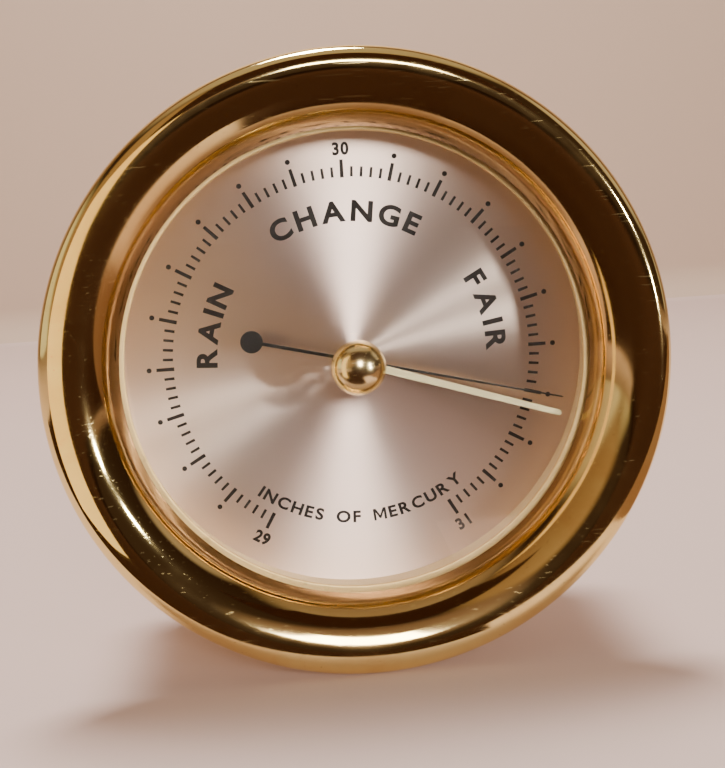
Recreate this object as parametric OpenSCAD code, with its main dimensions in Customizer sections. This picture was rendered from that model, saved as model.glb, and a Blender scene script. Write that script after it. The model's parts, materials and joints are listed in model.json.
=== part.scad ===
// Marine barometer: a flared brass case with a recessed silver dial, a pressure hand worked by
// an aneroid movement, and a set hand turned by a knob through the glass. Millimetres.
// Each module draws its piece on the bench, back down on z = 0 and dial up, with y towards 30 on
// the scale. on_wall() then stands it up: the dial faces -Y, +Z is up, the wall is the plane y = 0.

/* [Case] */
// Outer radius of the drum
drum_r = 66; // [60:0.5:72]
// Width of the flare outside the drum
flare_w = 16.5; // [14:0.5:20]
// How far the throat's lip stands inside the drum's radius
throat_step = 3.3; // [2.8:0.1:4]
// Wall of the drum
drum_wall = 0.9; // [0.7:0.1:1.1]
// Brass sheet of the bezel
sheet = 1; // [0.8:0.1:1.2]
// Lean of the bezel's sheet at the throat, in degrees
lip_lean = 75; // [60:1:80]
// Radius of the roll along the rim, from the flare's crest outwards
rim_roll_r = 4.3; // [3:0.1:6]
// Radius of the bead along the throat's lip
lip_bead_r = 0.6; // [0.4:0.1:0.8]
// Length of the bezel's skirt over the drum
skirt_l = 8.4; // [6:0.1:14]

/* [Back] */
// Thickness of the back cover
back_t = 1.2; // [1:0.1:2]
// Height of the lugs inside the drum
lug_h = 5.8; // [5:0.1:8]
// Width of a lug
lug_w = 11; // [9:0.5:14]
// Depth of a lug from the drum's wall
lug_d = 8; // [7:0.5:10]
// Direction of the first lug, clockwise from the top
lug_azimuth = 30; // [25:1:35]
// Radius of the keyhole's round entry
keyhole_r = 4.5; // [4:0.1:5.5]
// Half width of the keyhole's slot
keyhole_slot_r = 2.2; // [1.8:0.1:2.4]
// Height of the keyhole's entry above the centre
keyhole_y = 43; // [40:1:46]
// Height from the keyhole's entry to the top of its slot
keyhole_l = 8; // [7:0.5:10]
// Radius of the hole that reaches the adjusting screw
adjuster_hole_r = 4.5; // [4:0.1:5]

/* [Dial and glass] */
// Thickness of the dial
dial_t = 0.9; // [0.6:0.1:1.5]
// Radius of the dial's centre hole
dial_hole_r = 3; // [2.5:0.1:4]
// Height of the spacer ring between dial and glass ring
spacer_h = 12.5; // [12:0.1:16]
// Wall of the spacer ring
spacer_wall = 1; // [0.8:0.1:1.3]
// Thickness of the glass ring
glass_ring_t = 1; // [0.8:0.1:1.5]
// How far the glass ring shows inside the throat
glass_ring_show = 1.1; // [0.6:0.1:1.6]
// Thickness of the glass
glass_t = 2.5; // [2:0.1:3.2]
// Thickness of the gasket in front of the glass
gasket_t = 0.4; // [0.3:0.1:0.8]

/* [Hands] */
// Pressure that the hand shows, as an angle clockwise from the top of the scale
hand_azimuth = 104; // [-140:1:140]
// Room between the pressure hand's tip and the spacer ring
hand_tip_gap = 5; // [3:0.5:10]
// Width of the pressure hand at its boss
hand_w = 0.8; // [0.6:0.1:1.4]
// Height of the pressure hand above the dial
hand_h = 6.8; // [5:0.1:7.5]
// Distance of the tail disc from the centre
tail_l = 28.5; // [24:0.5:32]
// Radius of the tail disc
tail_r = 3.05; // [2.5:0.05:4]
// Direction of the set hand, clockwise from the top
set_azimuth = 108; // [-170:0.5:170]
// Room between the set hand's tip and the spacer ring
set_tip_gap = 5.5; // [4:0.5:12]
// Width of the set hand at its boss
set_hand_w = 2.1; // [1.6:0.1:3]
// Thickness of both hands
hand_t = 0.4; // [0.3:0.1:0.6]

/* [Set knob] */
// Radius of the knob
knob_r = 7.3; // [6.5:0.1:8]
// Height of the knob
knob_h = 9.8; // [9:0.1:10.5]
// Radius of the hole in the glass
glass_hole_r = 2.9; // [2.7:0.1:3.4]
// Radius of the set hand's shaft
set_shaft_r = 1.55; // [1.3:0.05:1.8]
// Radius of the bush's flange on the glass
bush_flange_r = 4.6; // [4.2:0.1:5.2]
// Thickness of the bush's flange
bush_flange_t = 0.9; // [0.7:0.1:1.2]

/* [Movement] */
// Thickness of the movement plate
plate_t = 1.6; // [1.2:0.1:2]
// Radius of the centre arbor
arbor_r = 0.8; // [0.7:0.05:1]
// Radius of the chain's drum on the centre arbor
chain_drum_r = 1.5; // [1.4:0.05:1.7]
// Room between the chain's drum and the arbor bridge
bridge_gap = 0.9; // [0.5:0.1:3]
// Height of the arbor bridge's top below the dial
bridge_drop = 2.1; // [1.8:0.1:6]
// Capsule's centre, along from the arbor
capsule_y = -14; // [-15:0.5:-13]
// Thickness of the capsule
capsule_t = 7; // [6:0.5:8]
// Height of the capsule above the movement plate
capsule_h = 3.4; // [3.2:0.1:4]
// Room between the spring block and the capsule
block_gap = 4.5; // [3:0.1:6]
// Room between the capsule and the mainspring leaf
post_room = 5; // [4:0.1:6]
// Thickness of the mainspring leaf
leaf_t = 0.8; // [0.6:0.1:1]
// Rocking shaft's axis, across from the arbor
rocker_x = 16; // [15:0.5:18]
// Height of the rocking shaft above the movement plate
rocker_h = 7.4; // [7:0.1:8]
// Radius of the rocking shaft
rocker_r = 1; // [0.9:0.05:1.2]
// Crank radius from the rocking shaft to the link
crank_l = 2.7; // [2.5:0.1:3]
// Radius from the rocking shaft to the chain
chain_arm_l = 15; // [14.5:0.1:15.5]
// Whole swing of the rocking shaft over the scale, in degrees
rocker_swing = 30; // [26:1:32]
// Number of turns of the hairspring
hairspring_turns = 4; // [3:1:5]

/* [Hidden] */
$fn = 96;

// Gap between pieces on different bodies that don't bear on each other
free_gap = 0.3;
// Gap round pieces that are fixed together
seat_gap = 0.05;
// Radial clearance of every turning fit
run_gap = 0.05;
// Angle from the lowest to the highest mark of the scale
scale_arc = 300;

// Heights of the movement's pieces above the movement plate
drum_half_h = 1;
drum_flange_t = 0.6;
bridge_t = 1.5;
leaf_h = capsule_h + capsule_t + post_room;
bridge_h = rocker_h + chain_arm_l + drum_half_h + drum_flange_t + bridge_gap;
movement_h = bridge_h + bridge_t + bridge_drop;

// Heights from the wall plane
plate_back = back_t + lug_h;
plate_front = plate_back + plate_t;
dial_back = plate_front + movement_h;
dial_face = dial_back + dial_t;
ring_back = dial_face + spacer_h;
glass_back = ring_back + glass_ring_t;
glass_front = glass_back + glass_t;
lip_back = glass_front + gasket_t;

// Radii of the case
rim_r = drum_r + flare_w;
throat_r = drum_r - throat_step;
drum_in_r = drum_r - drum_wall;
disc_r = drum_in_r - 2 * seat_gap;
plate_r = disc_r - free_gap;
spacer_in_r = disc_r - spacer_wall;
skirt_in_r = drum_r + seat_gap;
skirt_out_r = skirt_in_r + sheet;
glass_r = skirt_in_r - 8 * seat_gap;
glass_ring_in_r = throat_r - glass_ring_show;
gasket_in_r = throat_r + 2.5 * lip_bead_r;

// Flare in section: one arc from the throat's lip up to the crest, then the roll down to the rim
crest_r = rim_r - rim_roll_r;
lip_r = throat_r + lip_bead_r * (1 - sin(lip_lean));
lip_z = lip_back + sheet - lip_bead_r * (1 - cos(lip_lean));
flare_rho = (crest_r - lip_r) / sin(lip_lean);
flare_centre = [crest_r, lip_z - flare_rho * cos(lip_lean)];
crest_z = flare_centre[1] + flare_rho;
roll_centre = [crest_r, crest_z - rim_roll_r];

// Screws
screw_r = 1.25;
screw_hole_r = screw_r + seat_gap;
head_r = 2.5;
head_h = 1.5;
slot_w = 0.7;
slot_d = 0.6;
fine_screw_r = 1;
fine_head_h = 1.2;
lug_hole_at = drum_in_r - lug_d / 2;
foot_thread = 6;
bridge_thread = 5;
block_thread = 8;

// Pillars that carry the dial, in line with the lugs
foot_r = 2.5;
foot_at = drum_in_r - lug_d - 2 * foot_r;

// Set hand and knob
set_hand_l = spacer_in_r - set_tip_gap;
set_blade_z = glass_back - 3;
set_boss_h = 1.6;
set_boss_z = set_blade_z - set_boss_h / 2;
set_boss_r = 2.6;
nut_t = 1.2;
washer_t = free_gap;
washer_z = glass_front + bush_flange_t + free_gap;
knob_z = washer_z + washer_t;
knob_neck_r = knob_r - 2;
set_shaft_top = knob_z + knob_h / 2;

// Pressure hand and centre arbor
hand_l = spacer_in_r - hand_tip_gap;
hand_z = dial_face + hand_h;
hand_boss_r = 2.2;
hand_boss_h = 2.2;
arbor_top = hand_z + hand_t / 2 + hand_boss_h / 2;
arbor_hole_r = arbor_r + run_gap;
bridge_w = 9;
bridge_z = plate_front + bridge_h;
pillar_r = 2.4;
pillar_up = 16;
pillar_down = 8;
pillar_ys = [pillar_up, capsule_y - pillar_down];

// Spring block, its far corners near the movement plate's edge
leaf_w = 14;
block_side = 2;
block_cap = 2.7;
block_edge = 2.3;
block_l = 8;
block_w = leaf_w + 2 * block_side;
block_x = -sqrt(pow(plate_r - block_edge, 2) - pow(block_w / 2 - capsule_y, 2));
block_h = leaf_h + leaf_t + block_cap;
slot_depth = 5.5;

// Capsule, as wide as the room from the spring block to the bridge's lower pillar lets it be
pillar_gap = 1.4;
seam_w = 1.5;
room_x = -(block_x + block_l + block_gap);
room_p = pillar_r + pillar_gap;
capsule_rim_r = (room_x * room_x + pillar_down * pillar_down - room_p * room_p) / (2 * (room_x + room_p));
capsule_r = capsule_rim_r - seam_w;
capsule_x = capsule_rim_r - room_x;
capsule_z = plate_front + capsule_h;

// Capsule's post and the adjusting screw
capsule_stem_r = 2;
capsule_stem_l = 2.5;
adjuster_r = 4;
adjuster_z = back_t + 1.4;
adjuster_top = capsule_z - free_gap;
post_r = 1;
post_head_r = 2.6;

// Mainspring, lever and link
leaf_z = plate_front + leaf_h;
leaf_tip = 8.5;
lever_t = 1.2;
lever_w = 3;
lever_z = leaf_z + leaf_t;
lever_eye_r = 5.5;
rivet_xs = [capsule_x - 6.8, capsule_x + 6.8];
rivet_r = 0.7;
link_t = 0.6;
link_eye_r = 1.35;
link_hole_r = 0.85;
crank_pin_r = 0.5;

// Rocking shaft, crank and chain
rocker_z = plate_front + rocker_h;
rocker_tilt = rocker_swing * hand_azimuth / scale_arc;
crank_t = 1.6;
crank_y = capsule_y;
pin = [rocker_x - crank_l * cos(rocker_tilt), rocker_z - crank_l * sin(rocker_tilt)];
link_y = crank_y + crank_t / 2 + free_gap;
chain_w = 0.6;
chain_h = 0.5;
chain_y = -(chain_drum_r + chain_w / 2 + 0.1);
chain_z = rocker_z + chain_arm_l;
chain_end = rocker_x - chain_arm_l * sin(rocker_tilt);
chain_pitch = 1.3;
chain_arm_t = 1;
chain_arm_metal = chain_arm_l - chain_h - 2 * free_gap;
drum_flange_r = chain_drum_r + 1.1;
pivot_r = 0.8;
ear_t = 1.5;
ear_w = 6;
ear_ys = [crank_y - 6.6, 4.6];
bracket_t = 1.2;
bracket_screw_ys = [crank_y + 5.5, 0.6];

// Hairspring
spring_z = chain_z - drum_half_h - 3.5;
spring_h = 1;
spring_t = 0.25;
collet_r = 1.8;
spring_in_r = collet_r + free_gap + spring_t / 2;
spring_out_r = 8;
stud_r = 1;
stud_azimuth = -45;

// Bench position to wall position
module on_wall() {
  rotate([90, 0, 0]) children();
}

// Flat shape in x and z, thick along y from y0
module slab(y0, t) {
  translate([0, y0 + t, 0]) rotate([90, 0, 0]) linear_extrude(t) children();
}

module tube(r_out, r_in, h) {
  difference() {
    cylinder(r = r_out, h = h);
    translate([0, 0, -1]) cylinder(r = r_in, h = h + 2);
  }
}

// Flat bar with round ends from p to q
module bar(p, q, w) {
  d = q - p;
  translate(p) circle(d = w);
  translate(q) circle(d = w);
  translate(p) rotate(atan2(d[1], d[0])) translate([0, -w / 2]) square([norm(d), w]);
}

// Copies at three places round the centre, a distance r out
module three_round(r) {
  for (i = [0:2]) rotate(-lug_azimuth - 120 * i) translate([0, r, 0]) children();
}

// Slotted screw with its head's seat on z = 0 and its shank below
module screw(head, h, shank, l) {
  difference() {
    cylinder(r = head, h = h);
    translate([-head, -slot_w / 2, h - slot_d]) cube([2 * head, slot_w, 1]);
  }
  translate([0, 0, -l]) cylinder(r = shank, h = l);
}

// Bent sheet in section: a ring of outer radius rho, cut to the wedge from one lean to another
module sheet_arc(centre, rho, lean_in, lean_out) {
  reach = 2 * rho;
  leans = [lean_in, (lean_in + lean_out) / 2, lean_out];
  wedge = [for (lean = leans) reach * [-sin(lean), cos(lean)]];
  translate(centre) intersection() {
    difference() {
      circle(r = rho, $fn = 240);
      circle(r = rho - sheet, $fn = 240);
    }
    polygon(concat([[0, 0]], wedge));
  }
}

module flared_bezel() {
  lip_bead_at = flare_centre + (flare_rho - lip_bead_r) * [-sin(lip_lean), cos(lip_lean)];
  flange_in = lip_r + lip_bead_r / 2;
  color("goldenrod") on_wall() rotate_extrude($fn = 180) {
    sheet_arc(flare_centre, flare_rho, lip_lean, 0);
    sheet_arc(roll_centre, rim_roll_r, 0, -90);
    translate([rim_r - sheet / 2, roll_centre[1]]) circle(d = sheet);
    translate(lip_bead_at) circle(r = lip_bead_r);
    translate([flange_in, lip_back]) square([skirt_out_r - flange_in, sheet]);
    translate([skirt_in_r, ring_back - skirt_l]) square([sheet, lip_back + sheet - ring_back + skirt_l]);
  }
}

module case_drum() {
  color("goldenrod") on_wall() tube(drum_r, drum_in_r, ring_back);
}

module case_lugs() {
  color("peru") on_wall() intersection() {
    translate([0, 0, back_t]) cylinder(r = drum_in_r, h = lug_h);
    three_round(drum_in_r - lug_d) difference() {
      translate([-lug_w / 2, 0, 0]) cube([lug_w, 2 * lug_d, plate_back]);
      translate([0, lug_d / 2, -1]) cylinder(r = screw_hole_r, h = plate_back + 2);
    }
  }
}

module back_cover() {
  color("darkgoldenrod") on_wall() difference() {
    cylinder(r = disc_r, h = back_t);
    translate([0, keyhole_y, -1]) cylinder(r = keyhole_r, h = back_t + 2);
    translate([0, 0, -1]) linear_extrude(back_t + 2)
      bar([0, keyhole_y], [0, keyhole_y + keyhole_l - keyhole_slot_r], 2 * keyhole_slot_r);
    translate([capsule_x, capsule_y, -1]) cylinder(r = adjuster_hole_r, h = back_t + 2);
    three_round(lug_hole_at) {
      translate([0, 0, -1]) cylinder(r = screw_hole_r, h = back_t + 2);
      cylinder(r1 = head_r + seat_gap, r2 = screw_hole_r, h = back_t);
    }
  }
}

module back_cover_screws() {
  slot_l = 2 * head_r;
  color("gold") on_wall() three_round(lug_hole_at) difference() {
    union() {
      cylinder(r1 = head_r, r2 = screw_r, h = back_t);
      cylinder(r = screw_r, h = back_t + lug_h / 2 - free_gap);
    }
    translate([-slot_l / 2, -slot_w / 2, -1]) cube([slot_l, slot_w, 1 + slot_d]);
  }
}

module glass() {
  color("azure", 0.3) on_wall() translate([0, 0, glass_back]) tube(glass_r, glass_hole_r, glass_t);
}

module glass_gasket() {
  color("tan") on_wall() translate([0, 0, glass_front])
    tube(glass_r, gasket_in_r, gasket_t);
}

module glass_ring() {
  color("gold") on_wall() translate([0, 0, ring_back])
    tube(skirt_in_r - seat_gap, glass_ring_in_r, glass_ring_t);
}

module spacer_ring() {
  color("antiquewhite") on_wall() translate([0, 0, dial_face])
    tube(disc_r, spacer_in_r, spacer_h);
}

module dial() {
  color("silver") on_wall() translate([0, 0, dial_back]) tube(disc_r, dial_hole_r, dial_t);
}

module dial_feet() {
  color("darkgoldenrod") on_wall() three_round(foot_at) difference() {
    translate([0, 0, plate_front]) cylinder(r = foot_r, h = movement_h);
    translate([0, 0, plate_front - 1]) cylinder(r = screw_hole_r, h = 1 + foot_thread);
  }
}

module dial_foot_screws() {
  color("gold") on_wall() three_round(foot_at) translate([0, 0, plate_back]) mirror([0, 0, 1])
    screw(head_r, head_h, screw_r, plate_t + foot_thread - free_gap);
}

// Round plate with three bites between its feet
module movement_plate() {
  bite_r = 0.4 * disc_r;
  bite_at = 1.2 * disc_r;
  block_hole_x = block_x + block_l / 2;
  color("lightsteelblue") on_wall() translate([0, 0, plate_back]) difference() {
    cylinder(r = plate_r, h = plate_t);
    rotate(-60) three_round(bite_at) translate([0, 0, -1]) cylinder(r = bite_r, h = plate_t + 2);
    three_round(lug_hole_at) translate([0, 0, -1]) cylinder(r = screw_hole_r, h = plate_t + 2);
    three_round(foot_at) translate([0, 0, -1]) cylinder(r = screw_hole_r, h = plate_t + 2);
    translate([0, 0, -1]) cylinder(r = arbor_hole_r, h = plate_t + 2);
    translate([capsule_x, capsule_y, -1]) cylinder(r = adjuster_r + run_gap, h = plate_t + 2);
    for (side = [-1, 1]) translate([block_hole_x, capsule_y + side * block_w / 4, -1])
      cylinder(r = screw_hole_r, h = plate_t + 2);
    for (y = bracket_screw_ys) translate([rocker_x, y, -1])
      cylinder(r = fine_screw_r + seat_gap, h = plate_t + 2);
  }
}

module plate_screws() {
  color("gold") on_wall() three_round(lug_hole_at) translate([0, 0, plate_front])
    screw(head_r, head_h, screw_r, plate_t + lug_h / 2 - free_gap);
}

// Knob in section: a neck, and a dome of two arcs that is widest at its shoulder
module set_knob() {
  shoulder_z = 0.42 * knob_h;
  edge_r = 1.6;
  side_r = 0.575 * knob_r;
  side_x = knob_r - side_r;
  rise = knob_h - shoulder_z;
  dome_r = (side_x * side_x + rise * rise - side_r * side_r) / (2 * (rise - side_r));
  meet_x = side_x * dome_r / (dome_r - side_r);
  color("gold") on_wall() translate([0, 0, knob_z]) difference() {
    rotate_extrude() {
      square([knob_neck_r, shoulder_z]);
      translate([0, shoulder_z - edge_r]) square([knob_r - edge_r, edge_r]);
      translate([knob_r - edge_r, shoulder_z]) intersection() {
        circle(r = edge_r);
        translate([0, -edge_r]) square(edge_r);
      }
      translate([side_x, shoulder_z]) intersection() {
        circle(r = side_r, $fn = 180);
        square(side_r);
      }
      intersection() {
        translate([0, knob_h - dome_r]) circle(r = dome_r, $fn = 180);
        translate([0, shoulder_z]) square([meet_x, knob_h]);
      }
    }
    translate([0, 0, -1]) cylinder(r = set_shaft_r + seat_gap, h = 1 + knob_h / 2 + seat_gap);
  }
}

module set_shaft() {
  color("gold") on_wall() translate([0, 0, set_boss_z])
    cylinder(r = set_shaft_r, h = set_shaft_top - set_boss_z);
}

module set_hand() {
  tip_r = 0.36 * set_hand_w;
  color("khaki") on_wall() rotate(-set_azimuth) difference() {
    union() {
      translate([0, 0, set_boss_z]) cylinder(r = set_boss_r, h = set_boss_h);
      translate([0, 0, set_blade_z]) linear_extrude(hand_t) {
        polygon([
          [-set_hand_w / 2, 0], [-tip_r, set_hand_l - tip_r],
          [tip_r, set_hand_l - tip_r], [set_hand_w / 2, 0]
        ]);
        translate([0, set_hand_l - tip_r]) circle(r = tip_r);
      }
    }
    translate([0, 0, set_boss_z - 1]) cylinder(r = set_shaft_r + seat_gap, h = set_boss_h + 2);
  }
}

module friction_washer() {
  color("silver") on_wall() translate([0, 0, washer_z])
    tube(bush_flange_r - free_gap, set_shaft_r + seat_gap, washer_t);
}

module glass_bush() {
  bush_l = glass_t + nut_t + free_gap;
  color("gold") on_wall() translate([0, 0, glass_front]) difference() {
    union() {
      cylinder(r = bush_flange_r, h = bush_flange_t);
      translate([0, 0, -bush_l]) cylinder(r = glass_hole_r - seat_gap, h = bush_l);
    }
    translate([0, 0, -bush_l - 1]) cylinder(r = set_shaft_r + run_gap, h = bush_l + bush_flange_t + 2);
  }
}

module bush_nut() {
  color("gold") on_wall() translate([0, 0, glass_back - nut_t]) difference() {
    cylinder(r = bush_flange_r, h = nut_t, $fn = 6);
    translate([0, 0, -1]) cylinder(r = glass_hole_r, h = nut_t + 2);
  }
}

module pressure_hand() {
  tip_w = hand_w / 2;
  tail_w = 1.1 * hand_w;
  color("black") on_wall() rotate(-hand_azimuth) difference() {
    union() {
      translate([0, 0, arbor_top - hand_boss_h]) cylinder(r = hand_boss_r, h = hand_boss_h);
      translate([0, 0, hand_z]) linear_extrude(hand_t) {
        polygon([
          [-hand_w / 2, 0], [-tip_w / 2, hand_l - tip_w], [0, hand_l],
          [tip_w / 2, hand_l - tip_w], [hand_w / 2, 0]
        ]);
        translate([-tail_w / 2, -tail_l]) square([tail_w, tail_l]);
        translate([0, -tail_l]) circle(r = tail_r);
      }
    }
    translate([0, 0, hand_z - hand_boss_h]) cylinder(r = arbor_r + seat_gap, h = 3 * hand_boss_h);
  }
}

module centre_arbor() {
  drum_back = chain_z - drum_half_h - drum_flange_t;
  drum_front = chain_z + drum_half_h;
  color("lightgray") on_wall() {
    translate([0, 0, plate_back + free_gap]) cylinder(r = arbor_r, h = arbor_top - plate_back - free_gap);
    translate([0, 0, chain_z - drum_half_h]) cylinder(r = chain_drum_r, h = 2 * drum_half_h);
    for (z = [drum_back, drum_front]) translate([0, 0, z])
      cylinder(r = drum_flange_r, h = drum_flange_t);
  }
}

module hairspring_collet() {
  color("gold") on_wall() translate([0, 0, spring_z - spring_h / 2])
    tube(collet_r, arbor_r + seat_gap, 2 * spring_h);
}

// Flat spiral from the collet to the stud, wound clockwise outwards
function spiral_point(turn, side) =
  let (
    share = turn / hairspring_turns,
    r = spring_in_r + share * (spring_out_r - spring_in_r) + side * spring_t / 2,
    a = stud_azimuth - 360 * (hairspring_turns - turn)
  ) r * [sin(a), cos(a)];

module hairspring() {
  step = 1 / 24;
  turns = [for (t = [0:step:hairspring_turns]) t];
  last = len(turns) - 1;
  outer = [for (t = turns) spiral_point(t, 1)];
  inner = [for (i = [last:-1:0]) spiral_point(turns[i], -1)];
  color("steelblue") on_wall() translate([0, 0, spring_z]) linear_extrude(spring_h)
    polygon(concat(outer, inner));
}

module hairspring_stud() {
  stud_at = spring_out_r + spring_t / 2 + seat_gap + stud_r;
  color("gold") on_wall() rotate(-stud_azimuth) translate([0, stud_at, plate_front])
    cylinder(r = stud_r, h = spring_z + 2 * spring_h - plate_front);
}

module arbor_bridge() {
  color("darkgoldenrod") on_wall() translate([0, 0, bridge_z]) difference() {
    linear_extrude(bridge_t) bar([0, pillar_ys[0]], [0, pillar_ys[1]], bridge_w);
    translate([0, 0, -1]) cylinder(r = arbor_hole_r, h = bridge_t + 2);
    for (y = pillar_ys) translate([0, y, -1]) cylinder(r = fine_screw_r + seat_gap, h = bridge_t + 2);
  }
}

module bridge_pillars() {
  pillar_h = bridge_z - plate_front;
  color("darkgoldenrod") on_wall() for (y = pillar_ys) translate([0, y, plate_front]) difference() {
    cylinder(r = pillar_r, h = pillar_h);
    translate([0, 0, pillar_h - bridge_thread]) cylinder(r = fine_screw_r + seat_gap, h = bridge_thread + 1);
  }
}

module bridge_screws() {
  color("gold") on_wall() for (y = pillar_ys) translate([0, y, bridge_z + bridge_t])
    screw(pillar_r, fine_head_h, fine_screw_r, bridge_t + bridge_thread - free_gap);
}

// Two diaphragms with ring-shaped corrugations, joined in a thin seam at the edge
module aneroid_capsule() {
  waves = 5;
  wave_h = 0.35;
  flat_r = 4.5;
  last_r = capsule_r - seam_w;
  steps = 8 * waves;
  seam_t = 1;
  top = [for (i = [0:steps])
    [flat_r + (last_r - flat_r) * i / steps, capsule_t / 2 - wave_h * (1 - cos(360 * waves * i / steps))]];
  bottom = [for (i = [steps:-1:0]) [top[i][0], -top[i][1]]];
  edge = [
    [capsule_r, seam_t / 2], [capsule_rim_r, seam_t / 2],
    [capsule_rim_r, -seam_t / 2], [capsule_r, -seam_t / 2]
  ];
  color("khaki") on_wall() translate([capsule_x, capsule_y, capsule_z + capsule_t / 2]) {
    rotate_extrude() polygon(concat([[0, capsule_t / 2]], top, edge, bottom, [[0, -capsule_t / 2]]));
    translate([0, 0, -capsule_t / 2 - capsule_stem_l]) cylinder(r = capsule_stem_r, h = capsule_stem_l + 1);
  }
}

module capsule_post() {
  foot = capsule_z + capsule_t + free_gap;
  neck_top = lever_z + free_gap;
  color("gold") on_wall() translate([capsule_x, capsule_y, 0]) {
    translate([0, 0, foot]) cylinder(r = post_head_r, h = 1);
    translate([0, 0, foot]) cylinder(r = post_r, h = neck_top - foot);
    translate([0, 0, neck_top]) cylinder(r = post_head_r, h = 1);
  }
}

module adjusting_screw() {
  collar_t = 1.2;
  color("gold") on_wall() translate([capsule_x, capsule_y, 0]) difference() {
    union() {
      translate([0, 0, adjuster_z]) cylinder(r = adjuster_r, h = adjuster_top - adjuster_z);
      translate([0, 0, plate_front + free_gap]) cylinder(r = adjuster_r + 1.5, h = collar_t);
    }
    translate([0, 0, capsule_z - capsule_stem_l - free_gap])
      cylinder(r = capsule_stem_r + run_gap, h = capsule_stem_l + 1);
    translate([-adjuster_r - 1, -slot_w / 2, adjuster_z - 1]) cube([2 * adjuster_r + 2, slot_w, 2.2]);
  }
}

module spring_block() {
  slot_h = leaf_t + 2 * free_gap;
  color("slategray") on_wall() translate([block_x, capsule_y - block_w / 2, plate_front]) difference() {
    cube([block_l, block_w, block_h]);
    translate([block_l - slot_depth, -1, leaf_h - free_gap]) cube([slot_depth + 1, block_w + 2, slot_h]);
    for (side = [-1, 1]) translate([block_l / 2, block_w / 2 + side * block_w / 4, -1])
      cylinder(r = screw_hole_r, h = block_thread + 1);
  }
}

module spring_block_screws() {
  color("gold") on_wall() for (side = [-1, 1])
    translate([block_x + block_l / 2, capsule_y + side * block_w / 4, plate_back]) mirror([0, 0, 1])
      screw(head_r, head_h, screw_r, plate_t + block_thread - free_gap);
}

module mainspring() {
  leaf_back = block_x + block_l - slot_depth + free_gap;
  leaf_l = capsule_x + leaf_tip - leaf_back;
  color("steelblue") on_wall() translate([0, 0, leaf_z]) difference() {
    translate([leaf_back, capsule_y - leaf_w / 2, 0]) cube([leaf_l, leaf_w, leaf_t]);
    translate([capsule_x, capsule_y, -1]) cylinder(r = post_r + free_gap, h = leaf_t + 2);
    for (x = rivet_xs) translate([x, capsule_y, -1]) cylinder(r = rivet_r + seat_gap, h = leaf_t + 2);
  }
}

// Lever riveted on the leaf, with an eye round the capsule post and its tip above the crank pin
module main_lever() {
  color("lightsteelblue") on_wall() translate([0, 0, lever_z]) difference() {
    linear_extrude(lever_t) difference() {
      union() {
        translate([capsule_x, capsule_y]) circle(r = lever_eye_r);
        bar([rivet_xs[0], capsule_y], [rivet_xs[1], capsule_y], 2 * lever_w);
        bar([capsule_x, capsule_y], [pin[0], capsule_y], lever_w);
        bar([pin[0], capsule_y], [pin[0], link_y + link_t], lever_w);
      }
      translate([capsule_x, capsule_y]) circle(r = post_head_r + 2 * free_gap);
    }
    for (x = rivet_xs) translate([x, capsule_y, -1]) cylinder(r = rivet_r + seat_gap, h = lever_t + 2);
  }
}

module lever_rivets() {
  color("gold") on_wall() for (x = rivet_xs) translate([x, capsule_y, leaf_z]) {
    cylinder(r = rivet_r, h = leaf_t + lever_t);
    translate([0, 0, leaf_t + lever_t]) cylinder(r = 2 * rivet_r, h = rivet_r);
  }
}

// Flat link from the lever's tip to the crank pin, with room in its lower eye
module link() {
  color("lightgray") on_wall() slab(link_y, link_t) difference() {
    union() {
      translate(pin) circle(r = link_eye_r);
      bar([pin[0], pin[1]], [pin[0], lever_z - link_eye_r / 2], link_eye_r);
    }
    translate(pin) circle(r = link_hole_r);
  }
}

// Channel bracket with an ear at each end of the rocking shaft
module shaft_bracket() {
  foot_y = ear_ys[0];
  foot_l = ear_ys[1] + ear_t - ear_ys[0];
  color("darkgoldenrod") on_wall() difference() {
    union() {
      translate([rocker_x - ear_w / 2, foot_y, plate_front]) cube([ear_w, foot_l, bracket_t]);
      for (y = ear_ys) slab(y, ear_t) {
        translate([rocker_x - ear_w / 2, plate_front]) square([ear_w, rocker_h]);
        translate([rocker_x, rocker_z]) circle(r = ear_w / 2);
      }
    }
    translate([rocker_x, foot_y - 1, rocker_z]) rotate([-90, 0, 0])
      cylinder(r = pivot_r + run_gap, h = foot_l + 2);
    for (y = bracket_screw_ys) translate([rocker_x, y, plate_front - 1])
      cylinder(r = fine_screw_r + seat_gap, h = bracket_t + 2);
  }
}

module bracket_screws() {
  color("gold") on_wall() for (y = bracket_screw_ys) translate([rocker_x, y, plate_front + bracket_t])
    screw(2 * fine_screw_r, fine_head_h, fine_screw_r, bracket_t + plate_t - free_gap);
}

module rocking_shaft() {
  pivot_y = ear_ys[0] + free_gap;
  pivot_l = ear_ys[1] + ear_t - ear_ys[0] - 2 * free_gap;
  body_y = ear_ys[0] + ear_t + free_gap;
  body_l = ear_ys[1] - free_gap - body_y;
  color("silver") on_wall() {
    translate([rocker_x, pivot_y, rocker_z]) rotate([-90, 0, 0]) cylinder(r = pivot_r, h = pivot_l);
    translate([rocker_x, body_y, rocker_z]) rotate([-90, 0, 0]) cylinder(r = rocker_r, h = body_l);
  }
}

// Arm fixed on the rocking shaft, from the shaft to a tip, with its hub
module shaft_arm(y, t, tip, w) {
  axis = [rocker_x, rocker_z];
  slab(y, t) difference() {
    union() {
      translate(axis) circle(r = rocker_r + 1);
      bar(axis, tip, w);
    }
    translate(axis) circle(r = rocker_r + seat_gap);
  }
}

module crank_arm() {
  pin_l = crank_t + 2 * free_gap + link_t;
  color("gold") on_wall() {
    shaft_arm(crank_y - crank_t / 2, crank_t, pin, 2 * crank_pin_r + 0.6);
    translate([pin[0], crank_y - crank_t / 2, pin[1]]) rotate([-90, 0, 0])
      cylinder(r = crank_pin_r, h = pin_l);
  }
}

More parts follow.
